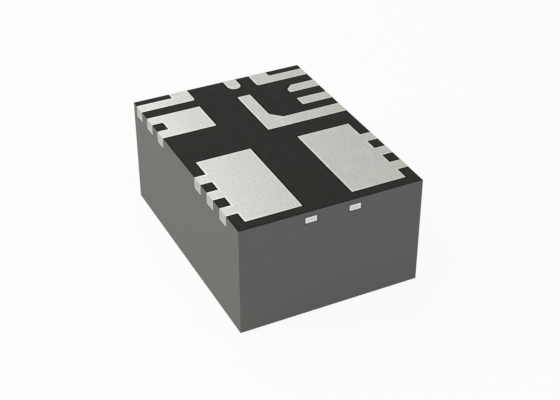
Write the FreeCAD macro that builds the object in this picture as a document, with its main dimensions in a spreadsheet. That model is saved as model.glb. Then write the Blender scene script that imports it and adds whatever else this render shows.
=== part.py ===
import FreeCAD, Part
import math
import os
import Sketcher

# Leadless moulded power module: a step-down converter with its inductor, sawn from a strip.
# X runs along the short side, Y along the long side, and Z points up to the solder lands.
# The origin is the middle of the plain face that the module rests on. Millimetres.

SAME_PLACE = 1e-6  # points nearer than this are one point

doc = FreeCAD.newDocument("power_module")

SIZES = [
    # Moulding, sawn on all four sides, with the lands flush in its top face
    ("module_width", 3.3),
    ("module_length", 4.5),
    ("mould_height", 2.0),
    # Etched copper leadframe: full thickness where it is bare, part thickness where it is buried
    ("frame_thickness", 0.2),
    ("etched_thickness", 0.1),
    # Leads along the two long sides, in a rear row and a front row of three
    ("lead_width", 0.25),
    ("lead_pitch", 0.5),
    ("lead_length", 0.205),
    ("rear_lead_setback", 0.28),
    ("front_lead_setback", 0.59),
    # The two large lands under the inductor, and the sawn tie bars
    ("large_land_width", 1.0),
    ("large_land_setback", 0.205),
    ("large_land_gap", 0.23),
    ("lip_width", 0.15),
    ("tie_bar_width", 0.2),
    # Supply land
    ("supply_land_width", 0.8),
    ("supply_root_width", 0.3),
    # Round-ended rear land, in line with the long arm of the ground land
    ("middle_land_x", 0.225),
    ("round_land_length", 0.35),
    # The two bent lands in the rear corners
    ("rear_land_gap", 0.27),
    ("bent_tab_width", 0.355),
    ("corner_radius", 0.05),
    # Short lands on the right side
    ("short_land_length", 0.6),
    ("first_land_chamfer", 0.125),
    # Ground land, whose arm to the right side lies in front of the last rear lead
    ("ground_arm_drop", 0.51),
    ("ground_arm_width", 0.3),
    ("ground_chamfer", 0.19),
    # Buried fingers that reach under the die and the capacitors
    ("finger_width", 0.12),
    ("finger_gap", 0.14),
    ("finger_overlap", 0.08),
    ("switch_finger_width", 0.16),
    ("switch_root_length", 0.4),
    ("pad_margin", 0.04),
    # Flip-chip die and its pillars
    ("die_thickness", 0.2),
    ("die_margin", 0.135),
    ("component_gap", 0.08),
    ("pillar_width", 0.09),
    ("pillar_height", 0.06),
    ("power_bar_span", 0.5),
    ("rear_post_margin", 0.07),
    ("solder_thickness", 0.03),
    # Moulded-powder inductor
    ("inductor_end_cover", 0.3),
    ("inductor_front_cover", 0.13),
    ("inductor_gap", 0.255),
    ("inductor_floor_cover", 0.27),
    ("terminal_thickness", 0.1),
    ("terminal_margin", 0.2),
    ("terminal_foot", 0.7),
    ("terminal_overlap", 0.07),
    ("terminal_bend", 0.08),
    ("core_wall", 0.2),
    ("coil_floor", 0.22),
    ("coil_roof", 0.16),
    ("coil_turns", 6),
    ("turn_gap", 0.03),
    ("wire_width", 0.36),
    # Ceramic capacitors
    ("input_cap_length", 1.0),
    ("input_cap_width", 0.5),
    ("input_cap_height", 0.5),
    ("input_cap_band", 0.25),
    ("boot_cap_length", 0.6),
    ("boot_cap_width", 0.3),
    ("boot_cap_height", 0.3),
    ("boot_cap_band", 0.15),
    ("cap_plating", 0.02),
    ("cap_chamfer", 0.03),
]

PLACES = [
    # Edges of the moulding, and the inner face of the leadframe
    ("side", "Sizes.module_width / 2"),
    ("rear", "Sizes.module_length / 2"),
    ("bed", "Sizes.mould_height - Sizes.frame_thickness"),
    # Rows of leads, as the place of each lead's centre line
    ("half_lead", "Sizes.lead_width / 2"),
    ("lead_root", "side - Sizes.lead_length"),
    ("rear_lead_1", "rear - Sizes.rear_lead_setback"),
    ("rear_lead_2", "rear_lead_1 - Sizes.lead_pitch"),
    ("rear_lead_3", "rear_lead_2 - Sizes.lead_pitch"),
    ("front_lead_1", "Sizes.front_lead_setback - rear"),
    ("front_lead_2", "front_lead_1 + Sizes.lead_pitch"),
    ("front_lead_3", "front_lead_2 + Sizes.lead_pitch"),
    # Middle land, bent lands and short lands
    ("middle_left", "Sizes.middle_land_x - half_lead"),
    ("middle_right", "Sizes.middle_land_x + half_lead"),
    ("middle_end", "rear_lead_2 + half_lead"),
    ("round_centre", "rear - Sizes.round_land_length + half_lead"),
    ("bent_tip", "middle_right + Sizes.rear_land_gap"),
    ("bent_tab_edge", "bent_tip + Sizes.bent_tab_width"),
    ("short_tip", "side - Sizes.short_land_length"),
    ("supply_tip", "lead_root - Sizes.supply_land_width"),
    # Ground arm, with the input capacitor's rear face in line with its rear edge
    ("ground_arm_y", "rear_lead_3 - Sizes.ground_arm_drop"),
    ("ground_front", "ground_arm_y - Sizes.ground_arm_width / 2"),
    ("ground_rear", "ground_arm_y + Sizes.ground_arm_width / 2"),
    ("input_cap_front", "ground_rear - Sizes.input_cap_width"),
    ("input_cap_x", "middle_right - Sizes.input_cap_length / 2"),
    ("input_cap_y", "ground_rear - Sizes.input_cap_width / 2"),
    # Large lands
    ("large_front", "Sizes.large_land_setback - rear"),
    ("large_rear", "input_cap_front - Sizes.large_land_gap"),
    ("large_inner", "lead_root - Sizes.large_land_width"),
    ("lip_edge", "large_inner - Sizes.lip_width"),
    # Buried fingers side by side: supply, switch, ground
    ("half_finger", "Sizes.finger_width / 2"),
    ("switch_right", "middle_left - Sizes.finger_gap"),
    ("switch_left", "switch_right - Sizes.switch_finger_width"),
    ("supply_right", "switch_left - Sizes.finger_gap"),
    ("boot_cap_right", "switch_right - Sizes.pad_margin"),
    ("boot_cap_x", "boot_cap_right - Sizes.boot_cap_length / 2"),
    ("boot_cap_left", "boot_cap_right - Sizes.boot_cap_length"),
    # Columns and rows of pillars, and the die that covers them
    ("supply_column", "supply_right - Sizes.pillar_width"),
    ("switch_column", "(switch_left + switch_right) / 2"),
    ("inner_column", "(middle_right + bent_tip) / 2"),
    ("signal_column", "(bent_tip + bent_tab_edge) / 2"),
    ("die_left", "supply_column - Sizes.die_margin"),
    ("die_right", "signal_column + Sizes.die_margin"),
    ("die_front", "ground_rear + Sizes.component_gap"),
    ("die_rear", "rear_lead_1 - Sizes.boot_cap_width / 2 - Sizes.component_gap"),
    ("die_middle", "(die_front + die_rear) / 2"),
    ("bar_front", "die_middle - Sizes.power_bar_span / 2"),
    ("bar_rear", "die_middle + Sizes.power_bar_span / 2"),
    ("rear_post", "die_rear - Sizes.rear_post_margin"),
    # Inductor, as large as its covers leave room for, and its winding
    ("inductor_length", "Sizes.module_width - 2 * Sizes.inductor_end_cover"),
    ("inductor_front", "Sizes.inductor_front_cover - rear"),
    ("inductor_rear", "input_cap_front - Sizes.inductor_gap"),
    ("inductor_width", "inductor_rear - inductor_front"),
    ("inductor_y", "(inductor_front + inductor_rear) / 2"),
    ("inductor_height", "bed - Sizes.solder_thickness - Sizes.inductor_floor_cover"),
    ("inductor_end", "inductor_length / 2"),
    ("terminal_inner", "inductor_end - Sizes.terminal_thickness"),
    ("terminal_width", "inductor_width - 2 * Sizes.terminal_margin"),
    ("foot_level", "inductor_height - Sizes.terminal_thickness"),
    ("winding_height", "foot_level - Sizes.coil_roof - Sizes.coil_floor"),
    ("coil_pitch", "(winding_height + Sizes.turn_gap) / (Sizes.coil_turns + 1)"),
    ("wire_thickness", "coil_pitch - Sizes.turn_gap"),
    ("coil_finish", "Sizes.coil_floor + Sizes.coil_turns * coil_pitch"),
    ("coil_outer", "inductor_width / 2 - Sizes.core_wall"),
    ("coil_inner", "coil_outer - Sizes.wire_width"),
]

# Each pillar stands on the copper of one land: long bars for the power, round posts for the rest
BARS = [
    ("Places.supply_column", "Places.bar_front", "Places.bar_rear"),
    ("Places.switch_column", "Places.bar_front", "Places.bar_rear"),
    ("Sizes.middle_land_x", "Places.bar_front", "Places.bar_rear"),
    ("Places.inner_column", "Places.bar_front", "Places.die_middle"),
]
POSTS = [
    ("Places.inner_column", "Places.rear_post"),
    ("Places.signal_column", "Places.rear_post"),
    ("Places.signal_column", "Places.rear_lead_2"),
    ("Places.signal_column", "Places.rear_lead_3"),
]


def make_sheet(name, rows):
    sheet = doc.addObject("Spreadsheet::Sheet", name)
    for row, (alias, content) in enumerate(rows, start=1):
        sheet.set(f"A{row}", alias)
        sheet.set(f"B{row}", content)
        sheet.setAlias(f"B{row}", alias)
    doc.recompute()


def make_sheets():
    make_sheet("Sizes", [(alias, str(value)) for alias, value in SIZES])
    make_sheet("Places", [(alias, f"={formula}") for alias, formula in PLACES])


def value_of(holder, expression):
    value = holder.evalExpression(expression)
    return float(getattr(value, "Value", value))


def move_to(piece, x="0", y="0", z="0"):
    piece.setExpression(".Placement.Base.x", x)
    piece.setExpression(".Placement.Base.y", y)
    piece.setExpression(".Placement.Base.z", z)


def new_body(name):
    body = doc.addObject("PartDesign::Body", name)
    body.Label = name
    return body


def new_sketch(body, name, plane="XY_Plane"):
    sketch = body.newObject("Sketcher::SketchObject", name)
    origin_plane = next(item for item in body.Origin.OriginFeatures if item.Role == plane)
    sketch.AttachmentSupport = [(origin_plane, "")]
    sketch.MapMode = "FlatFace"
    return sketch


def draw_outline(sketch, sides):
    # A closed outline of straight sides, each one along a line of constant x or constant y
    places = [(axis, value_of(sketch, expression)) for axis, expression in sides]
    corners = []
    for this_side, next_side in zip(places, places[1:] + places[:1]):
        corner = dict([this_side, next_side])
        corners.append(FreeCAD.Vector(corner["x"], corner["y"], 0))
    first = sketch.GeometryCount
    for number in range(len(sides)):
        sketch.addGeometry(Part.LineSegment(corners[number - 1], corners[number]), False)
    for number, (axis, expression) in enumerate(sides):
        line = first + number
        following = first + (number + 1) % len(sides)
        upright = axis == "x"
        sketch.addConstraint(Sketcher.Constraint("Coincident", line, 2, following, 1))
        sketch.addConstraint(Sketcher.Constraint("Vertical" if upright else "Horizontal", line))
        kind = "DistanceX" if upright else "DistanceY"
        distance = Sketcher.Constraint(kind, -1, 1, line, 1, places[number][1])
        index = sketch.addConstraint(distance)
        sketch.setExpression(f"Constraints[{index}]", expression)


def draw_rectangle(sketch, x_low, x_high, y_low, y_high):
    draw_outline(sketch, [("x", x_low), ("y", y_low), ("x", x_high), ("y", y_high)])


def fix_centre(sketch, geometry, x, y):
    for kind, expression in (("DistanceX", x), ("DistanceY", y)):
        start = value_of(sketch, expression)
        index = sketch.addConstraint(Sketcher.Constraint(kind, -1, 1, geometry, 3, start))
        sketch.setExpression(f"Constraints[{index}]", expression)


def fix_diameter(sketch, geometry, diameter):
    start = value_of(sketch, diameter)
    index = sketch.addConstraint(Sketcher.Constraint("Diameter", geometry, start))
    sketch.setExpression(f"Constraints[{index}]", diameter)


def draw_circle(sketch, x, y, diameter):
    centre = FreeCAD.Vector(value_of(sketch, x), value_of(sketch, y), 0)
    radius = value_of(sketch, diameter) / 2
    circle = sketch.addGeometry(Part.Circle(centre, FreeCAD.Vector(0, 0, 1), radius), False)
    fix_centre(sketch, circle, x, y)
    fix_diameter(sketch, circle, diameter)


def draw_slot(sketch, x, y_low, y_high, width):
    # Two half circles joined by straight sides along Y
    radius = value_of(sketch, width) / 2
    upward = FreeCAD.Vector(0, 0, 1)
    low = FreeCAD.Vector(value_of(sketch, x), value_of(sketch, y_low), 0)
    high = FreeCAD.Vector(low.x, value_of(sketch, y_high), 0)
    across = FreeCAD.Vector(radius, 0, 0)
    half_turn = math.pi
    edges = [
        Part.ArcOfCircle(Part.Circle(low, upward, radius), half_turn, 2 * half_turn),
        Part.LineSegment(low + across, high + across),
        Part.ArcOfCircle(Part.Circle(high, upward, radius), 0, half_turn),
        Part.LineSegment(high - across, low - across),
    ]
    first = sketch.addGeometry(edges[0], False)
    for edge in edges[1:]:
        sketch.addGeometry(edge, False)
    for number in range(4):
        following = first + (number + 1) % 4
        sketch.addConstraint(Sketcher.Constraint("Tangent", first + number, 2, following, 1))
    sketch.addConstraint(Sketcher.Constraint("Equal", first, first + 2))
    fix_centre(sketch, first, x, y_low)
    fix_centre(sketch, first + 2, x, y_high)
    fix_diameter(sketch, first, width)


def add_pad(body, sketch, length, reversed_way=False, both_ways=False):
    pad = body.newObject("PartDesign::Pad", f"{sketch.Name}_pad")
    pad.Profile = (sketch, [""])
    pad.setExpression("Length", length)
    pad.Reversed = reversed_way
    pad.Midplane = both_ways
    doc.recompute()
    return pad


def pad_rectangle(body, name, length, x_low, x_high, y_low, y_high):
    sketch = new_sketch(body, name)
    draw_rectangle(sketch, x_low, x_high, y_low, y_high)
    return add_pad(body, sketch, length)


def bare_copper(body, name, x_low, x_high, y_low, y_high):
    return pad_rectangle(body, name, "Sizes.frame_thickness", x_low, x_high, y_low, y_high)


def buried_copper(body, name, x_low, x_high, y_low, y_high):
    return pad_rectangle(body, name, "Sizes.etched_thickness", x_low, x_high, y_low, y_high)


def edges_at(feature, **places):
    # The edges whose every end has the stated x, y or z
    wanted = {axis: value_of(feature, expression) for axis, expression in places.items()}
    names = []
    for number, edge in enumerate(feature.Shape.Edges, start=1):
        misses = [
            abs(getattr(vertex.Point, axis) - place)
            for vertex in edge.Vertexes
            for axis, place in wanted.items()
        ]
        if max(misses) < SAME_PLACE:
            names.append(f"Edge{number}")
    return names


def round_corner(body, feature, name, x, y, radius):
    fillet = body.newObject("PartDesign::Fillet", name)
    fillet.Base = (feature, edges_at(feature, x=x, y=y))
    fillet.setExpression("Radius", radius)
    doc.recompute()
    return fillet


def cut_corner(body, feature, name, x, y, size):
    chamfer = body.newObject("PartDesign::Chamfer", name)
    chamfer.Base = (feature, edges_at(feature, x=x, y=y))
    chamfer.setExpression("Size", size)
    doc.recompute()
    return chamfer


def cut_all_edges(body, feature, name, size):
    chamfer = body.newObject("PartDesign::Chamfer", name)
    chamfer.Base = (feature, [""])
    chamfer.UseAllEdges = True
    chamfer.setExpression("Size", size)
    doc.recompute()


def side_lead(body, name, hand, centre, tip):
    # A lead from the sawn side to its tip; hand is -1 on the left side and 1 on the right
    return bare_copper(
        body, name, f"{hand} * Places.side", f"{hand} * {tip}",
        f"{centre} - Places.half_lead", f"{centre} + Places.half_lead"
    )


def make_large_land(name, hand):
    # Bare pad with three leads, a buried lip on its inner edge and the end of a sawn tie bar
    body = new_body(name)
    bare_copper(
        body, f"{name}_face", f"{hand} * Places.large_inner", f"{hand} * Places.lead_root",
        "Places.large_front", "Places.large_rear"
    )
    for number in (1, 2, 3):
        side_lead(body, f"{name}_lead_{number}", hand, f"Places.front_lead_{number}", "Places.lead_root")
    buried_copper(
        body, f"{name}_lip", f"{hand} * Places.lip_edge", f"{hand} * Places.large_inner",
        "Places.large_front", "Places.large_rear"
    )
    buried_copper(
        body, f"{name}_tie_bar", f"{hand} * Places.lip_edge",
        f"{hand} * (Places.lip_edge + Sizes.tie_bar_width)", "-Places.rear", "Places.large_front"
    )
    move_to(body, z="Places.bed")
    return body


def make_output_land():
    return make_large_land("output_land", 1)


def make_switch_land():
    # The buried finger runs between the supply and ground fingers to the boot capacitor
    body = make_large_land("switch_land", -1)
    root_front = "Places.large_rear - Sizes.switch_root_length"
    finger_end = "Places.rear_lead_1 + Places.half_lead"
    buried_copper(
        body, "switch_root", "-Places.large_inner", "Places.switch_right", root_front, "Places.large_rear"
    )
    buried_copper(
        body, "switch_finger", "Places.switch_left", "Places.switch_right", root_front, finger_end
    )
    buried_copper(
        body, "switch_boot_pad", "Places.boot_cap_right - Sizes.boot_cap_band", "Places.switch_right",
        "Places.rear_lead_1 - Places.half_lead", finger_end
    )
    return body


def make_supply_land():
    # Bare pad with two leads; its buried part carries the input capacitor and a bar of the die
    body = new_body("supply_land")
    rear_edge = "Places.rear_lead_2 + Places.half_lead"
    bare_copper(
        body, "supply_face", "-Places.lead_root", "-Places.supply_tip",
        "Places.rear_lead_3 - Places.half_lead", rear_edge
    )
    for number in (2, 3):
        side_lead(body, f"supply_lead_{number}", -1, f"Places.rear_lead_{number}", "Places.lead_root")
    buried_copper(
        body, "supply_finger", "-Places.supply_tip - Sizes.supply_root_width", "Places.supply_right",
        "Places.input_cap_front", rear_edge
    )
    move_to(body, z="Places.bed")
    return body


def make_bent_land(name, hand):
    # A lead along the side row whose tip turns to the rear edge
    body = new_body(name)
    front_edge = "Places.rear_lead_1 - Places.half_lead"
    sketch = new_sketch(body, f"{name}_outline")
    draw_outline(sketch, [
        ("x", f"{hand} * Places.side"),
        ("y", front_edge),
        ("x", f"{hand} * Places.bent_tip"),
        ("y", "Places.rear"),
        ("x", f"{hand} * Places.bent_tab_edge"),
        ("y", "Places.rear_lead_1 + Places.half_lead"),
    ])
    pad = add_pad(body, sketch, "Sizes.frame_thickness")
    corner = round_corner(
        body, pad, f"{name}_corner", f"{hand} * Places.bent_tip", front_edge, "Sizes.corner_radius"
    )
    move_to(body, z="Places.bed")
    return body, corner


def make_boot_land():
    body = make_bent_land("boot_land", -1)[0]
    buried_copper(
        body, "boot_lip", "-Places.bent_tip - Sizes.lip_width",
        "Places.boot_cap_left + Sizes.boot_cap_band", "Places.rear_lead_1 - Places.half_lead",
        "Places.rear_lead_1 + Places.half_lead"
    )
    return body


def make_enable_land():
    body, corner = make_bent_land("enable_land", 1)
    round_corner(
        body, corner, "enable_slot_corner", "Places.bent_tab_edge", "Places.rear_lead_1 + Places.half_lead",
        "Sizes.corner_radius"
    )
    buried_copper(
        body, "enable_finger", "Places.signal_column - Places.half_finger",
        "Places.signal_column + Places.half_finger", "Places.rear_post - Places.half_finger",
        "Places.rear_lead_1"
    )
    return body


def make_short_land(name, centre):
    body = new_body(name)
    lead = side_lead(body, f"{name}_face", 1, centre, "Places.short_tip")
    move_to(body, z="Places.bed")
    return body, lead


def add_signal_finger(body, name, centre):
    buried_copper(
        body, name, "Places.signal_column - Places.half_finger", "Places.short_tip + Sizes.lip_width",
        f"{centre} - Places.half_finger", f"{centre} + Places.half_finger"
    )


def make_bias_land():
    # The first land, marked by its chamfered tip
    centre = "Places.rear_lead_2"
    body, lead = make_short_land("bias_land", centre)
    cut_corner(
        body, lead, "bias_tip", "Places.short_tip", f"{centre} + Places.half_lead",
        "Sizes.first_land_chamfer"
    )
    add_signal_finger(body, "bias_finger", centre)
    return body


def make_feedback_land():
    centre = "Places.rear_lead_3"
    body = make_short_land("feedback_land", centre)[0]
    add_signal_finger(body, "feedback_finger", centre)
    return body


def make_mode_land():
    # Runs in from the rear edge to a full round end, with a buried finger beside it
    body = new_body("mode_land")
    bare_copper(
        body, "mode_face", "Places.middle_left", "Places.middle_right", "Places.round_centre", "Places.rear"
    )
    round_end = new_sketch(body, "mode_round_end")
    draw_circle(round_end, "Sizes.middle_land_x", "Places.round_centre", "Sizes.lead_width")
    add_pad(body, round_end, "Sizes.frame_thickness")
    finger_edge = "Places.inner_column + Places.half_finger"
    neck_rear = "Places.round_centre + Places.half_finger"
    buried_copper(
        body, "mode_neck", "Sizes.middle_land_x", finger_edge, "Places.round_centre - Places.half_finger",
        neck_rear
    )
    buried_copper(
        body, "mode_finger", "Places.inner_column - Places.half_finger", finger_edge,
        "Places.rear_post - Places.half_finger", neck_rear
    )
    move_to(body, z="Places.bed")
    return body


def make_ground_land():
    # A long bare arm under the middle of the die, joined to a lead that leaves on the right
    body = new_body("ground_land")
    sketch = new_sketch(body, "ground_outline")
    draw_outline(sketch, [
        ("x", "Places.middle_left"),
        ("y", "Places.ground_front"),
        ("x", "Places.side"),
        ("y", "Places.ground_rear"),
        ("x", "Places.middle_right"),
        ("y", "Places.middle_end"),
    ])
    pad = add_pad(body, sketch, "Sizes.frame_thickness")
    cut_corner(body, pad, "ground_web", "Places.middle_right", "Places.ground_rear", "Sizes.ground_chamfer")
    buried_copper(
        body, "ground_lip", "Places.middle_left", "Places.lead_root", "Places.input_cap_front",
        "Places.ground_front"
    )
    buried_copper(
        body, "ground_shelf", "Sizes.middle_land_x", "Places.inner_column + Sizes.finger_overlap",
        "Places.bar_front - Sizes.finger_overlap", "Places.die_middle + Sizes.finger_overlap"
    )
    move_to(body, z="Places.bed")
    return body


def make_pillar_group(name, height, top):
    body = new_body(name)
    sketch = new_sketch(body, f"{name}_pattern")
    for x, y_low, y_high in BARS:
        draw_slot(sketch, x, y_low, y_high, "Sizes.pillar_width")
    for x, y in POSTS:
        draw_circle(sketch, x, y, "Sizes.pillar_width")
    add_pad(body, sketch, height)
    move_to(body, z=f"{top} - {height}")
    return body


def make_pillar_solder():
    return make_pillar_group("pillar_solder", "Sizes.solder_thickness", "Places.bed")


def make_die_pillars():
    return make_pillar_group("die_pillars", "Sizes.pillar_height", "Places.bed - Sizes.solder_thickness")


def make_control_die():
    die = doc.addObject("Part::Box", "control_die")
    die.setExpression("Length", "Places.die_right - Places.die_left")
    die.setExpression("Width", "Places.die_rear - Places.die_front")
    die.setExpression("Height", "Sizes.die_thickness")
    move_to(
        die, "Places.die_left", "Places.die_front",
        "Places.bed - Sizes.solder_thickness - Sizes.pillar_height - Sizes.die_thickness"
    )
    return die


def edges_along_bend(feature, x):
    # The edges that run along Y at the mounting face, where a terminal turns round the block
    return edges_at(feature, x=x, z="Places.inductor_height")


def round_bend(body, feature, name, edges):
    fillet = body.newObject("PartDesign::Fillet", name)
    fillet.Base = (feature, edges)
    fillet.setExpression("Radius", "Sizes.terminal_bend")
    doc.recompute()


def seat_in_inductor(piece):
    move_to(piece, y="Places.inductor_y", z="Sizes.inductor_floor_cover")


def make_inductor_block():
    # The whole outside of the inductor, which the moulding closes round
    body = new_body("inductor_block")
    sketch = new_sketch(body, "block_outline")
    draw_rectangle(
        sketch, "-Places.inductor_end", "Places.inductor_end", "-Places.inductor_width / 2",
        "Places.inductor_width / 2"
    )
    pad = add_pad(body, sketch, "Places.inductor_height")
    bends = edges_along_bend(pad, "-Places.inductor_end") + edges_along_bend(pad, "Places.inductor_end")
    round_bend(body, pad, "block_bends", bends)
    seat_in_inductor(body)
    return body


def make_inductor_terminal(name, hand):
    # A strip bent round the end of the block: a foot on the mounting face and a riser
    body = new_body(name)
    sketch = new_sketch(body, f"{name}_profile", "XZ_Plane")
    draw_outline(sketch, [
        ("x", f"{hand} * Places.inductor_end"),
        ("y", "Places.inductor_height"),
        ("x", f"{hand} * (Places.inductor_end - Sizes.terminal_foot)"),
        ("y", "Places.foot_level"),
        ("x", f"{hand} * Places.terminal_inner"),
        ("y", "Sizes.coil_floor - Sizes.terminal_overlap"),
    ])
    pad = add_pad(body, sketch, "Places.terminal_width", both_ways=True)
    round_bend(body, pad, f"{name}_bend", edges_along_bend(pad, f"{hand} * Places.inductor_end"))
    seat_in_inductor(body)
    return body


def coil_section(body, name, level):
    # The flat wire's section in the plane X = 0, at the front of the winding
    sketch = new_sketch(body, name, "YZ_Plane")
    draw_rectangle(
        sketch, "-Places.coil_outer", "-Places.coil_inner", level, f"{level} + Places.wire_thickness"
    )
    return sketch


def make_inductor_coil():
    # Flat wire wound in whole turns, with a straight end to each terminal
    body = new_body("inductor_coil")
    helix = body.newObject("PartDesign::AdditiveHelix", "coil_winding")
    section = coil_section(body, "winding_section", "Sizes.coil_floor")
    helix.Profile = (section, [""])
    helix.ReferenceAxis = (section, ["V_Axis"])
    helix.Mode = "pitch-turns-angle"
    helix.setExpression("Pitch", "Places.coil_pitch")
    helix.setExpression("Turns", "Sizes.coil_turns")
    doc.recompute()
    start = coil_section(body, "wire_start", "Sizes.coil_floor")
    add_pad(body, start, "Places.terminal_inner", reversed_way=True)
    finish = coil_section(body, "wire_finish", "Places.coil_finish")
    add_pad(body, finish, "Places.terminal_inner")
    seat_in_inductor(body)
    return body


def make_cut(name, base, tools):
    gathered = doc.addObject("Part::MultiFuse", f"{name}_cavity")
    gathered.Shapes = tools
    cut = doc.addObject("Part::Cut", name)
    cut.Base = base
    cut.Tool = gathered
    cut.Refine = False
    cut.Label = name
    doc.recompute()
    return cut


def make_box(name, length, width, height, x, y, z):
    # A box centred on x and y, standing on z
    box = doc.addObject("Part::Box", name)
    box.setExpression("Length", length)
    box.setExpression("Width", width)
    box.setExpression("Height", height)
    move_to(box, f"{x} - {length} / 2", f"{y} - {width} / 2", z)
    return box


def make_edged_block(name, length, width, height, chamfer):
    body = new_body(name)
    sketch = new_sketch(body, f"{name}_outline")
    draw_rectangle(sketch, f"-({length}) / 2", f"({length}) / 2", f"-({width}) / 2", f"({width}) / 2")
    pad = add_pad(body, sketch, height)
    cut_all_edges(body, pad, f"{name}_edges", chamfer)
    return body


def make_capacitor(name, sizes, y):
    # A ceramic chip and the two metal ends that wrap it, with its terminals towards the lands
    measures = ("length", "width", "height", "band")
    length, width, height, band = (f"Sizes.{sizes}_{measure}" for measure in measures)
    x = f"Places.{sizes}_x"
    plating = "Sizes.cap_plating"
    seat = f"Places.bed - Sizes.solder_thickness - {height}"
    chip = make_edged_block(
        name, f"{length} - 2 * {plating}", f"{width} - 2 * {plating}", f"{height} - 2 * {plating}",
        "Sizes.cap_chamfer"
    )
    move_to(chip, x, y, f"{seat} + {plating}")
    shell = make_edged_block(
        f"{name}_shell", length, width, height, f"Sizes.cap_chamfer + {plating} / 2"
    )
    move_to(shell, x, y, seat)
    bare_length = f"({length} - 2 * {band})"
    middle = make_box(f"{name}_middle", bare_length, width, height, x, y, seat)
    ends = make_cut(f"{name}_ends", shell, [chip, middle])
    return chip, ends


def make_solder_group(name, pads):
    # Flat joints between the lands and what is soldered to them
    joints = []
    for number, (x, y, length, width) in enumerate(pads, start=1):
        joint = make_box(
            f"{name}_{number}", length, width, "Sizes.solder_thickness", x, y,
            "Places.bed - Sizes.solder_thickness"
        )
        joints.append(joint)
    group = doc.addObject("Part::MultiFuse", name)
    group.Shapes = joints
    group.Label = name
    doc.recompute()
    return group


def make_inductor_solder():
    middle = "(Places.inductor_end - Sizes.terminal_foot / 2)"
    foot = "(Sizes.terminal_foot - 2 * Sizes.terminal_bend)"
    pads = [(f"{hand} * {middle}", "Places.inductor_y", foot, "Places.terminal_width") for hand in (-1, 1)]
    return make_solder_group("inductor_solder", pads)


def make_capacitor_solder():
    pads = []
    for sizes, y, width in (
        ("input_cap", "Places.input_cap_y", "Sizes.input_cap_width"),
        ("boot_cap", "Places.rear_lead_1", "Sizes.lead_width"),
    ):
        middle = f"(Sizes.{sizes}_length - Sizes.{sizes}_band) / 2"
        for hand in (-1, 1):
            pads.append((f"(Places.{sizes}_x + {hand} * {middle})", y, f"Sizes.{sizes}_band", width))
    return make_solder_group("capacitor_solder", pads)


def make_moulding(contents):
    block = make_box(
        "mould_block", "Sizes.module_width", "Sizes.module_length", "Sizes.mould_height", "0", "0", "0"
    )
    return make_cut("moulding", block, contents)


def check_objects():
    for item in doc.Objects:
        if "Invalid" in item.State or "Error" in item.State:
            raise RuntimeError(f"{item.Label} did not build: {item.State}")


def write_parts(pieces):
    os.makedirs("parts", exist_ok=True)
    for piece in pieces:
        shape = piece.Shape
        if shape.isNull() or not shape.isValid():
            raise RuntimeError(f"{piece.Label} has no valid shape")
    for piece in pieces:
        piece.Shape.exportStep(f"parts/{piece.Label}.step")
        print(f"{piece.Label}: {len(piece.Shape.Solids)} solids, {piece.Shape.Volume:.4f} mm3")


make_sheets()
lands = [
    make_output_land(),
    make_switch_land(),
    make_supply_land(),
    make_boot_land(),
    make_enable_land(),
    make_mode_land(),
    make_bias_land(),
    make_feedback_land(),
    make_ground_land(),
]
die_parts = [make_pillar_solder(), make_die_pillars(), make_control_die()]
inductor_block = make_inductor_block()
terminals = [
    make_inductor_terminal("inductor_output_terminal", 1),
    make_inductor_terminal("inductor_switch_terminal", -1),
]
coil = make_inductor_coil()
core = make_cut("inductor_core", inductor_block, terminals + [coil])
input_capacitor = make_capacitor("input_capacitor", "input_cap", "Places.input_cap_y")
boot_capacitor = make_capacitor("boot_capacitor", "boot_cap", "Places.rear_lead_1")
solder = [make_inductor_solder(), make_capacitor_solder()]
capacitors = [*input_capacitor, *boot_capacitor]
moulding = make_moulding([*lands, *die_parts, *capacitors, *solder, inductor_block])

doc.recompute()
check_objects()
write_parts([moulding, *lands, *die_parts, core, coil, *terminals, *capacitors, *solder])
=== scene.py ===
import bpy
import math
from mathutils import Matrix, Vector


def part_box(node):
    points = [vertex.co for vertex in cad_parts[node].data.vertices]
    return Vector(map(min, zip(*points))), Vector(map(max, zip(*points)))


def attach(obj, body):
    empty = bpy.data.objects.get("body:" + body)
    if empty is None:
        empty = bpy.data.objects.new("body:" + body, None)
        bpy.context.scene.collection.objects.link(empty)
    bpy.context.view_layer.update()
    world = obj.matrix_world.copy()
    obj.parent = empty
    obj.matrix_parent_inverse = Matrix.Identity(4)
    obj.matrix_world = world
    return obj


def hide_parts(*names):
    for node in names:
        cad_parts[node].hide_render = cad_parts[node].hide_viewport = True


# Power module lying on its plain face, with the solder lands up.
# Lengths in the dictionaries are millimetres and angles are degrees, unless a note says otherwise.
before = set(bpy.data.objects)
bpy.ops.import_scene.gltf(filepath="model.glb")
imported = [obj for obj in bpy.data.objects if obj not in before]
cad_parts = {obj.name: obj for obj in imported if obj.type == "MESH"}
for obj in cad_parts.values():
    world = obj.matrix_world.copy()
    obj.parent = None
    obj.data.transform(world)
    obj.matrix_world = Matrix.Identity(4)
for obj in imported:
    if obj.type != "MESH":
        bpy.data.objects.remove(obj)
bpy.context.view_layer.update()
mm = 0.001
blockLow, blockHigh = [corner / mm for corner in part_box("moulding")]
print("stage: frame loaded,", len(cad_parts), "nodes")

# What counts as the same place, plane or direction while the meshes are edited
limits = {
    "near": 0.0015,                           # between a point and a plane or line that it is on
    "merge": 0.0005,                          # between two corners that become one
    "coplanar": 0.5, "smooth": 35,            # between faces that become one, or are shaded as one
    "along": 0.999, "across": 0.001,          # share of a unit normal along an axis: all of it, or none
}


# Selection and editing

def pickOnly(thing):
    bpy.ops.object.select_all(action="DESELECT")
    thing.select_set(True)
    bpy.context.view_layer.objects.active = thing


def resizeMesh(piece, factor):
    pickOnly(piece)
    piece.scale = (factor, factor, factor)
    bpy.ops.object.transform_apply(location=False, rotation=False, scale=True)


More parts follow.
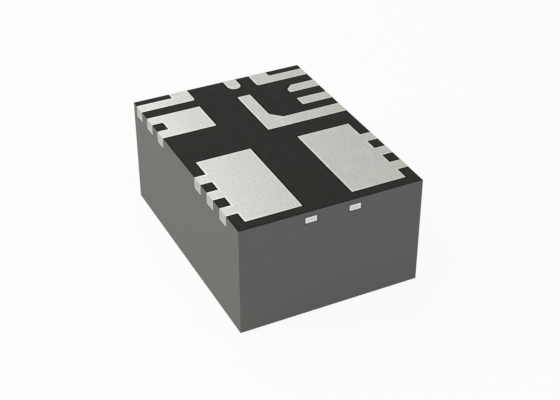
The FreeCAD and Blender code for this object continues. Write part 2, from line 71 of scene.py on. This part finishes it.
def copyOfNode(nodeName, pieceName):
    # the copy is in millimetres until finishPiece, so that small bevels come out clean
    piece = bpy.data.objects.new(pieceName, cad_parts[nodeName].data.copy())
    piece.data.name = pieceName
    piece.data.materials.clear()
    bpy.context.scene.collection.objects.link(piece)
    resizeMesh(piece, 1 / mm)
    bpy.ops.mesh.customdata_custom_splitnormals_clear()
    bpy.ops.object.mode_set(mode="EDIT")
    bpy.ops.mesh.select_all(action="SELECT")
    bpy.ops.mesh.remove_doubles(threshold=limits["merge"])
    bpy.ops.mesh.dissolve_limited(angle_limit=math.radians(limits["coplanar"]))
    bpy.ops.object.mode_set(mode="OBJECT")
    return piece


def deselectMesh(mesh):
    for group in (mesh.vertices, mesh.edges, mesh.polygons):
        group.foreach_set("select", [False] * len(group))


def bevelEdges(piece, wanted, width, segments):
    # wanted is asked about the two ends of each edge
    pickOnly(piece)
    bpy.context.tool_settings.mesh_select_mode = (False, True, False)
    mesh = piece.data
    deselectMesh(mesh)
    for edge in mesh.edges:
        edge.select = wanted(*[mesh.vertices[number].co for number in edge.vertices])
    bpy.ops.object.mode_set(mode="EDIT")
    bpy.ops.mesh.bevel(offset=width, segments=segments, affect="EDGES", clamp_overlap=True)
    bpy.ops.object.mode_set(mode="OBJECT")


def rimFaces(piece, wanted, width, elsewhere, elsewhereRim):
    # a narrow border inside the wanted faces, which are chosen by their middle and normal
    # the attribute "rim" is 1 on it, and elsewhereRim where elsewhere is true of its whole outer side; the
    # materials scale their painted highlight and painted shade by it
    pickOnly(piece)
    bpy.context.tool_settings.mesh_select_mode = (False, False, True)
    mesh = piece.data
    deselectMesh(mesh)
    for face in mesh.polygons:
        face.select = wanted(face.center, face.normal)
    bpy.ops.object.mode_set(mode="EDIT")
    bpy.ops.mesh.inset(thickness=width, depth=0, use_boundary=True, use_even_offset=True)
    bpy.ops.object.mode_set(mode="OBJECT")
    inside = {number for face in mesh.polygons if face.select for number in face.vertices}
    rim = mesh.attributes.get("rim") or mesh.attributes.new("rim", "FLOAT", "FACE")
    for face in mesh.polygons:
        if wanted(face.center, face.normal) and not face.select:
            outline = [mesh.vertices[number].co for number in face.vertices if number not in inside]
            apart = outline and all(elsewhere(point) for point in outline)
            rim.data[face.index].value = elsewhereRim if apart else 1.0


def paintFaces(piece, slotNumber, wanted):
    for face in piece.data.polygons:
        if wanted(face.center, face.normal):
            face.material_index = slotNumber


def atBlockSide(point, reach):
    # true within reach of one of the four sawn sides
    return blockHigh.x - abs(point.x) < reach or blockHigh.y - abs(point.y) < reach


def onSawnSide(middle, normal):
    return atBlockSide(middle, limits["near"]) and max(abs(normal.x), abs(normal.y)) > limits["along"]


def onTop(middle, normal, height):
    return normal.z > limits["along"] and middle.z > height - limits["near"]


def finishPiece(piece, nodeName):
    pickOnly(piece)
    bpy.ops.object.shade_smooth_by_angle(angle=math.radians(limits["smooth"]))
    bpy.ops.object.modifier_add(type="WEIGHTED_NORMAL")
    piece.modifiers[-1].keep_sharp = True
    bpy.ops.object.modifier_apply(modifier=piece.modifiers[-1].name)
    resizeMesh(piece, mm)
    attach(piece, "root")
    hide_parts(nodeName)


# Node building for the materials

noiseSpan = (0.3, 0.7)                        # most of a noise pattern's values lie between these


def newMaterial(name):
    material = bpy.data.materials.new(name)
    material.use_nodes = True
    tree = material.node_tree
    shader = tree.nodes["Principled BSDF"]
    return material, tree, shader


def addNode(tree, kind, **settings):
    node = tree.nodes.new(kind)
    for name, value in settings.items():
        setattr(node, name, value)
    return node


def ramp(tree, source, fromRange, toRange):
    node = addNode(tree, "ShaderNodeMapRange")
    node.inputs["From Min"].default_value, node.inputs["From Max"].default_value = fromRange
    node.inputs["To Min"].default_value, node.inputs["To Max"].default_value = toRange
    tree.links.new(source, node.inputs["Value"])
    return node.outputs["Result"]


def combine(tree, operation, first, second):
    node = addNode(tree, "ShaderNodeMath", operation=operation)
    tree.links.new(first, node.inputs[0])
    if isinstance(second, (int, float)):
        node.inputs[1].default_value = second
    else:
        tree.links.new(second, node.inputs[1])
    return node.outputs["Value"]


def millimetres(tree, stretch=(1, 1, 1)):
    # object coordinates in millimetres, with each axis multiplied by its stretch
    place = addNode(tree, "ShaderNodeTexCoord")
    scaled = addNode(tree, "ShaderNodeMapping")
    scaled.inputs["Scale"].default_value = [share / mm for share in stretch]
    tree.links.new(place.outputs["Object"], scaled.inputs["Vector"])
    return scaled.outputs["Vector"]


def noise(tree, where, perMillimetre, detail=2.0, roughness=0.5):
    node = addNode(tree, "ShaderNodeTexNoise")
    node.inputs["Scale"].default_value = perMillimetre
    node.inputs["Detail"].default_value = detail
    node.inputs["Roughness"].default_value = roughness
    tree.links.new(where, node.inputs["Vector"])
    return node.outputs["Fac"]


def cells(tree, where, perMillimetre):
    # distance to the nearest cell's own point
    node = addNode(tree, "ShaderNodeTexVoronoi")
    node.inputs["Scale"].default_value = perMillimetre
    tree.links.new(where, node.inputs["Vector"])
    return node.outputs["Distance"]


def swing(tree, pattern, contrast):
    # a noise pattern as a lighter or darker share of the colour range
    return ramp(tree, pattern, noiseSpan, (-contrast, contrast))


def paintedRimShare(tree, gain):
    # painted light on the borders that rimFaces has made, and 0 off them: a positive gain paints a
    # highlight, a negative gain paints shade
    node = addNode(tree, "ShaderNodeAttribute", attribute_type="GEOMETRY", attribute_name="rim")
    return ramp(tree, node.outputs["Fac"], (0, 1), (0, gain))


def aroundMiddle(tree, *shares):
    # the shares are added to the middle of the colour range, which runs from 0 to 1
    total = combine(tree, "ADD", shares[0], 0.5)
    for share in shares[1:]:
        total = combine(tree, "ADD", total, share)
    return total


def setColour(tree, shader, level, colour, spread):
    # level 0 is the colour made darker by its spread, and level 1 is the colour made lighter by it
    node = addNode(tree, "ShaderNodeMix", data_type="RGBA")
    tree.links.new(level, node.inputs["Factor"])
    for socketName, factor in (("A", 1 - spread), ("B", 1 + spread)):
        node.inputs[socketName].default_value = (*[channel * factor for channel in colour], 1)
    tree.links.new(node.outputs["Result"], shader.inputs["Base Color"])


def relief(tree, shader, height, depth):
    # depth in micrometres between the lowest and the highest place
    node = addNode(tree, "ShaderNodeBump")
    node.inputs["Distance"].default_value = depth * mm * mm
    tree.links.new(height, node.inputs["Height"])
    tree.links.new(node.outputs["Normal"], shader.inputs["Normal"])


# In the dictionaries of finishes, grain, lines and the like say how many there are in a millimetre,
# depth is in micrometres, and spread is how far the colour's range goes to its darker and lighter side.

# Plating on the lands: matt tin with a fine grain, and a painted highlight along its outline

plating = {
    "colour": (0.44, 0.439, 0.401), "spread": 0.5,
    "grain": 26, "grainDetail": 3.0, "grainRoughness": 0.6, "grainContrast": 0.14,
    "mottle": 3.5, "mottleContrast": 0.024,
    "rimWidth": 0.02, "paintedRimGain": 0.3,         # painted highlight: the plating is brighter along its outline
    "edgeRim": 0.1,                           # less so on the rounded edge itself
    "sawnRim": -0.2,                          # and painted shade, a little darker, along the sawn end
    "roughness": (0.33, 0.39), "depth": 1.0,
}


def platingMaterial():
    material, tree, shader = newMaterial("matt_tin_plating")
    where = millimetres(tree)
    grain = noise(tree, where, plating["grain"], plating["grainDetail"], plating["grainRoughness"])
    mottle = noise(tree, where, plating["mottle"])
    level = aroundMiddle(
        tree, swing(tree, grain, plating["grainContrast"]), swing(tree, mottle, plating["mottleContrast"]),
        paintedRimShare(tree, plating["paintedRimGain"])
    )
    setColour(tree, shader, level, plating["colour"], plating["spread"])
    tree.links.new(ramp(tree, mottle, noiseSpan, plating["roughness"]), shader.inputs["Roughness"])
    shader.inputs["Metallic"].default_value = 1.0
    relief(tree, shader, grain, plating["depth"])
    return material


# Sawn ends of the leads and tie bars: fine level lines left by the blade, and a painted highlight along
# their outline

sawnMetal = {
    "leadColour": (0.528, 0.519, 0.5), "tieBarColour": (0.61, 0.64, 0.62), "spread": 0.3,
    "lines": 110, "lineStretch": 0.03, "lineContrast": 0.12,
    "rimWidth": 0.02, "paintedRimGain": 0.4,         # painted highlight: brighter along the outline
    "topRim": 0.0,                            # but not along the top
    "roughness": (0.38, 0.5), "depth": 0.8,
}


def sawnMetalMaterial(name, colour):
    material, tree, shader = newMaterial(name)
    along = sawnMetal["lineStretch"]
    lines = noise(tree, millimetres(tree, (along, along, 1)), sawnMetal["lines"])
    level = aroundMiddle(
        tree, swing(tree, lines, sawnMetal["lineContrast"]), paintedRimShare(tree, sawnMetal["paintedRimGain"])
    )
    setColour(tree, shader, level, colour, sawnMetal["spread"])
    tree.links.new(ramp(tree, lines, noiseSpan, sawnMetal["roughness"]), shader.inputs["Roughness"])
    shader.inputs["Metallic"].default_value = 1.0
    relief(tree, shader, lines, sawnMetal["depth"])
    return material


# Epoxy where the film of the mould pressed on it, round the lands, with painted shade along the lands

landFaceEpoxy = {
    "colour": (0.034, 0.0341, 0.0314), "spread": 0.7,
    "mottle": 5, "mottleDetail": 3.0, "mottleContrast": 0.057,
    "rimWidth": 0.03, "paintedRimGain": -0.36,       # painted shade: darker along the lands
    "sawnRim": 0.5,                           # and less so along the block's sides
    "texture": 60, "depth": 0.25, "roughness": 0.6, "gloss": 0.01,
}


def landFaceMaterial():
    material, tree, shader = newMaterial("land_face_epoxy")
    where = millimetres(tree)
    mottle = noise(tree, where, landFaceEpoxy["mottle"], landFaceEpoxy["mottleDetail"])
    level = aroundMiddle(
        tree, swing(tree, mottle, landFaceEpoxy["mottleContrast"]), paintedRimShare(tree, landFaceEpoxy["paintedRimGain"])
    )
    setColour(tree, shader, level, landFaceEpoxy["colour"], landFaceEpoxy["spread"])
    shader.inputs["Roughness"].default_value = landFaceEpoxy["roughness"]
    shader.inputs["Specular IOR Level"].default_value = landFaceEpoxy["gloss"]
    relief(tree, shader, noise(tree, where, landFaceEpoxy["texture"]), landFaceEpoxy["depth"])
    return material


# Epoxy cut by the saw: paler, matt, with level blade lines and cut grains of filler, and painted shade
# round the ends of the leads and tie bars

sawnEpoxy = {
    "colour": (0.127, 0.127, 0.1215), "spread": 0.5,
    "lines": 70, "lineStretch": 0.02, "lineContrast": 0.02,
    "filler": 28, "fillerContrast": 0.12,
    "fillerRadius": 0.28,                     # share of the width of a cell
    "rimWidth": 0.025, "paintedRimGain": -0.3,       # painted shade: darker round the ends of the leads and tie bars
    "outlineRim": 0.0,                        # but not along the side's own outline
    "roughness": 0.85, "gloss": 0.12, "depth": 1.2,
}


def sawnEpoxyMaterial():
    material, tree, shader = newMaterial("sawn_epoxy")
    along = sawnEpoxy["lineStretch"]
    lines = noise(tree, millimetres(tree, (along, along, 1)), sawnEpoxy["lines"])
    filler = cells(tree, millimetres(tree), sawnEpoxy["filler"])
    specks = ramp(tree, filler, (0, sawnEpoxy["fillerRadius"]), (sawnEpoxy["fillerContrast"], 0))
    level = aroundMiddle(
        tree, swing(tree, lines, sawnEpoxy["lineContrast"]), specks, paintedRimShare(tree, sawnEpoxy["paintedRimGain"])
    )
    setColour(tree, shader, level, sawnEpoxy["colour"], sawnEpoxy["spread"])
    shader.inputs["Roughness"].default_value = sawnEpoxy["roughness"]
    shader.inputs["Specular IOR Level"].default_value = sawnEpoxy["gloss"]
    relief(tree, shader, combine(tree, "SUBTRACT", lines, specks), sawnEpoxy["depth"])
    return material


# Epoxy against the spark-eroded steel of the mould, on the plain face

mouldedEpoxy = {
    "colour": (0.03, 0.03, 0.028), "spread": 0.15,
    "texture": 22, "textureDetail": 3.0, "textureRoughness": 0.6,
    "roughness": 0.6, "gloss": 0.3, "depth": 3.0,
}


def mouldedEpoxyMaterial():
    material, tree, shader = newMaterial("moulded_epoxy")
    texture = noise(
        tree, millimetres(tree), mouldedEpoxy["texture"], mouldedEpoxy["textureDetail"],
        mouldedEpoxy["textureRoughness"]
    )
    level = ramp(tree, texture, noiseSpan, (0, 1))
    setColour(tree, shader, level, mouldedEpoxy["colour"], mouldedEpoxy["spread"])
    shader.inputs["Roughness"].default_value = mouldedEpoxy["roughness"]
    shader.inputs["Specular IOR Level"].default_value = mouldedEpoxy["gloss"]
    relief(tree, shader, texture, mouldedEpoxy["depth"])
    return material


# The moulding, sawn on four sides, with the sharp edges just broken

moulding = {"edge": 0.006, "edgeSegments": 2}


def makeMoulding():
    near = limits["near"]
    reach = 2 * moulding["edge"]              # past the rounding of an edge

    def outerPlanes(point):
        return [
            axis for axis in range(3)
            if min(abs(point[axis] - blockLow[axis]), abs(point[axis] - blockHigh[axis])) < near
        ]

    def onOuterEdge(start, end):
        return len(set(outerPlanes(start)) & set(outerPlanes(end))) >= 2

    def atSideOutline(point):
        # true at an upright edge of the block, and along its top and bottom
        atCorner = blockHigh.x - abs(point.x) < reach and blockHigh.y - abs(point.y) < reach
        return atCorner or min(point.z, blockHigh.z - point.z) < reach

    piece = copyOfNode("moulding", "mould_body")
    bevelEdges(piece, onOuterEdge, moulding["edge"], moulding["edgeSegments"])
    # border for the painted shade along the lands
    rimFaces(
        piece, lambda middle, normal: onTop(middle, normal, blockHigh.z), landFaceEpoxy["rimWidth"],
        lambda point: atBlockSide(point, reach), landFaceEpoxy["sawnRim"]
    )
    # border for the painted shade round the lead and tie-bar ends
    rimFaces(piece, onSawnSide, sawnEpoxy["rimWidth"], atSideOutline, sawnEpoxy["outlineRim"])
    for material in (landFaceMaterial(), sawnEpoxyMaterial(), mouldedEpoxyMaterial()):
        piece.data.materials.append(material)
    paintFaces(piece, 1, lambda middle, normal: atBlockSide(middle, near))
    paintFaces(piece, 2, lambda middle, normal: middle.z < near)
    finishPiece(piece, "moulding")
    print("stage: moulding,", len(piece.data.polygons), "faces")


# The nine lands, each with its top edge rounded by etching and plating

lands = {
    "edge": 0.006, "edgeSegments": 3,
    "names": [
        "output_land", "switch_land", "supply_land", "boot_land", "enable_land",
        "mode_land", "bias_land", "feedback_land", "ground_land",
    ],
}


def makeLands():
    near = limits["near"]
    coat = platingMaterial()
    leadEnd = sawnMetalMaterial("sawn_lead_ends", sawnMetal["leadColour"])
    tieBarEnd = sawnMetalMaterial("sawn_tie_bar_ends", sawnMetal["tieBarColour"])

    def onSide(point):
        return atBlockSide(point, near)

    for name in lands["names"]:
        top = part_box(name)[1].z / mm
        piece = copyOfNode(name, name.replace("_land", "_plated_land"))

        def etchedEdge(start, end):
            return min(start.z, end.z) > top - near and not (onSide(start) and onSide(end))

        # border for the painted highlight along the outline of the sawn end
        rimFaces(
            piece, onSawnSide, sawnMetal["rimWidth"],
            lambda point: point.z > top - near, sawnMetal["topRim"]
        )
        bevelEdges(piece, etchedEdge, lands["edge"], lands["edgeSegments"])
        # border for the painted highlight along the plated top, with painted shade where it meets the sawn
        # end
        rimFaces(
            piece, lambda middle, normal: onTop(middle, normal, top), plating["rimWidth"],
            onSide, plating["sawnRim"]
        )
        # less painted highlight on the rounded edge
        for face in piece.data.polygons:
            sloping = limits["across"] < face.normal.z < limits["along"]
            if sloping and face.center.z > top - lands["edge"]:
                piece.data.attributes["rim"].data[face.index].value = plating["edgeRim"]
        for material in (coat, leadEnd, tieBarEnd):
            piece.data.materials.append(material)
        paintFaces(piece, 1, lambda middle, normal: blockHigh.x - abs(middle.x) < near)
        paintFaces(piece, 2, lambda middle, normal: blockHigh.y - abs(middle.y) < near)
        finishPiece(piece, name)
    print("stage: lands,", len(lands["names"]))


# What the moulding holds: it stays as the frame has it, and gets its own finishes

copper = {
    "colour": (0.72, 0.36, 0.22), "spread": 0.12, "lines": 24, "stretch": (1, 0.08, 1),
    "roughness": (0.24, 0.42), "depth": 0.6, "metallic": 1.0,
}
solderMetal = {
    "colour": (0.50, 0.50, 0.49), "spread": 0.10, "dimples": 9,
    "roughness": (0.2, 0.45), "depth": 2.0, "metallic": 1.0,
}
silicon = {
    "colour": (0.105, 0.11, 0.125), "spread": 0.10, "lines": 60, "stretch": (0.04, 1, 1),
    "roughness": (0.16, 0.3), "depth": 0.3, "metallic": 0.0,
}
powderCore = {
    "colour": (0.075, 0.075, 0.078), "spread": 0.35, "powder": 45,
    "roughness": (0.5, 0.75), "depth": 4.0, "metallic": 0.0,
}
ceramic = {
    "colour": (0.36, 0.23, 0.13), "spread": 0.12, "grain": 30, "mottle": 4,
    "roughness": (0.45, 0.6), "depth": 0.8, "metallic": 0.0,
}


def patternedMaterial(name, values, pattern):
    # the pattern sets colour, roughness and relief together
    material, tree, shader = newMaterial(name)
    level = ramp(tree, pattern(tree), noiseSpan, (0, 1))
    setColour(tree, shader, level, values["colour"], values["spread"])
    tree.links.new(ramp(tree, level, (0, 1), values["roughness"]), shader.inputs["Roughness"])
    shader.inputs["Metallic"].default_value = values["metallic"]
    relief(tree, shader, level, values["depth"])
    return material


def drawnCopper():
    def drawingLines(tree):
        return noise(tree, millimetres(tree, copper["stretch"]), copper["lines"])
    return patternedMaterial("drawn_copper", copper, drawingLines)


def reflowedSolder():
    def dimples(tree):
        return noise(tree, millimetres(tree), solderMetal["dimples"])
    return patternedMaterial("reflowed_solder", solderMetal, dimples)


def groundSilicon():
    def grindingLines(tree):
        return noise(tree, millimetres(tree, silicon["stretch"]), silicon["lines"])
    return patternedMaterial("ground_silicon", silicon, grindingLines)


def pressedPowder():
    def powder(tree):
        return cells(tree, millimetres(tree), powderCore["powder"])
    return patternedMaterial("pressed_alloy_powder", powderCore, powder)


def firedCeramic():
    def grainAndMottle(tree):
        # the mean of a fine and a broad pattern
        where = millimetres(tree)
        fine, broad = noise(tree, where, ceramic["grain"]), noise(tree, where, ceramic["mottle"])
        return combine(tree, "MULTIPLY", combine(tree, "ADD", fine, broad), 0.5)
    return patternedMaterial("fired_ceramic", ceramic, grainAndMottle)


def finishInnerParts():
    copperFinish, solderFinish, ceramicFinish = drawnCopper(), reflowedSolder(), firedCeramic()
    endPlating = bpy.data.materials["matt_tin_plating"]
    finishes = {
        "control_die": groundSilicon(), "inductor_core": pressedPowder(), "inductor_coil": copperFinish,
        "inductor_output_terminal": copperFinish, "inductor_switch_terminal": copperFinish,
        "die_pillars": copperFinish, "pillar_solder": solderFinish, "inductor_solder": solderFinish,
        "capacitor_solder": solderFinish, "input_capacitor": ceramicFinish, "boot_capacitor": ceramicFinish,
        "input_capacitor_ends": endPlating, "boot_capacitor_ends": endPlating,
    }
    for nodeName, finish in finishes.items():
        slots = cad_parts[nodeName].data.materials
        slots.clear()
        slots.append(finish)
    print("stage: inner parts,", len(finishes))


makeMoulding()
makeLands()
finishInnerParts()


# Floor, light and camera

stage = {
    "floorSize": 400, "floorColour": (0.9, 0.9, 0.9), "floorRoughness": 0.9,
    "floorWhite": 0.92, "floorFill": 0.5,     # shares of even white, as seen and as light on the object
    "ambient": 0.35,                          # the world's light on the object, where 1 is white
}


def seenDirectly(tree):
    # 1 for what the camera sees, also in a reflection or through glass
    path = addNode(tree, "ShaderNodeLightPath")
    shown = combine(tree, "MAXIMUM", path.outputs["Is Camera Ray"], path.outputs["Is Glossy Ray"])
    return combine(tree, "MAXIMUM", shown, path.outputs["Is Transmission Ray"])


def makeFloor():
    bpy.ops.mesh.primitive_plane_add(size=stage["floorSize"] * mm, location=(0, 0, 0))
    floor = bpy.context.object
    floor.name = "studio_floor"
    material, tree, shader = newMaterial("pale_floor")
    shader.inputs["Base Color"].default_value = (*stage["floorColour"], 1)
    shader.inputs["Roughness"].default_value = stage["floorRoughness"]
    shader.inputs["Specular IOR Level"].default_value = 0.0
    glow = addNode(tree, "ShaderNodeEmission")
    share = ramp(tree, seenDirectly(tree), (0, 1), (stage["floorFill"], stage["floorWhite"]))
    mix = addNode(tree, "ShaderNodeMixShader")
    tree.links.new(share, mix.inputs["Fac"])
    tree.links.new(shader.outputs["BSDF"], mix.inputs[1])
    tree.links.new(glow.outputs["Emission"], mix.inputs[2])
    tree.links.new(mix.outputs["Shader"], tree.nodes["Material Output"].inputs["Surface"])
    floor.data.materials.append(material)


def makeWorld():
    world = bpy.data.worlds.new("studio_world")
    bpy.context.scene.world = world
    world.use_nodes = True
    tree = world.node_tree
    back = tree.nodes["Background"]
    back.inputs["Color"].default_value = (1, 1, 1, 1)
    strength = ramp(tree, seenDirectly(tree), (0, 1), (stage["ambient"], 1))
    tree.links.new(strength, back.inputs["Strength"])


# Each lamp: where it stands, its size, the brightness of its face, its colour, and whether metal mirrors it
lamps = {
    "left_softbox": {
        "place": (-36, 10, 14.7), "size": 26, "brightness": 6.0, "colour": (1.0, 0.985, 0.91),
        "mirrored": False,
    },
    "front_softbox": {
        "place": (0, -36, 18), "size": 26, "brightness": 1.86, "colour": (1.0, 1.0, 1.0),
        "mirrored": False,
    },
    "back_softbox": {
        "place": (-2.8, 31.4, 25.6), "size": 24, "brightness": 1.62, "colour": (0.8, 0.78, 0.86),
        "mirrored": True,
    },
    "overhead_softbox": {
        "place": (2.2, 25.6, 31.6), "size": 24, "brightness": 1.0, "colour": (0.8, 0.78, 0.86),
        "mirrored": True,
    },
}


def makeLamps():
    blockMiddle = Vector((0, 0, blockHigh.z / 2)) * mm
    for name, lamp in lamps.items():
        bpy.ops.object.light_add(type="AREA", location=[value * mm for value in lamp["place"]])
        light = bpy.context.object
        light.name = name
        light.data.shape = "SQUARE"
        light.data.size = lamp["size"] * mm
        light.data.energy = lamp["brightness"] * math.pi * light.data.size ** 2
        light.data.color = lamp["colour"]
        light.visible_glossy = lamp["mirrored"]
        light.rotation_euler = (blockMiddle - light.location).to_track_quat("-Z", "Y").to_euler()


# The photograph's view: it looks down and to the right, from in front of the left corner
view = {
    "aim": (-0.0282, -0.4046, 1.0), "distance": 20.917, "azimuth": -26.329, "elevation": 33.765,
    "lens": 77.73, "sensor": 36, "nearest": 1, "farthest": 1000,
}


def makeCamera():
    azimuth, elevation = math.radians(view["azimuth"]), math.radians(view["elevation"])
    level = math.cos(elevation)
    back = Vector((math.sin(azimuth) * level, -math.cos(azimuth) * level, math.sin(elevation)))
    place = Vector(view["aim"]) + back * view["distance"]
    bpy.ops.object.camera_add(location=place * mm, rotation=(-back).to_track_quat("-Z", "Y").to_euler())
    camera = bpy.context.object
    camera.name = "photo_camera"
    camera.data.lens = view["lens"]
    camera.data.sensor_width = view["sensor"]
    camera.data.clip_start = view["nearest"] * mm
    camera.data.clip_end = view["farthest"] * mm
    bpy.context.scene.camera = camera


makeFloor()
makeWorld()
makeLamps()
makeCamera()
bpy.context.scene.view_settings.view_transform = "Standard"
print("stage: floor, lamps and camera")
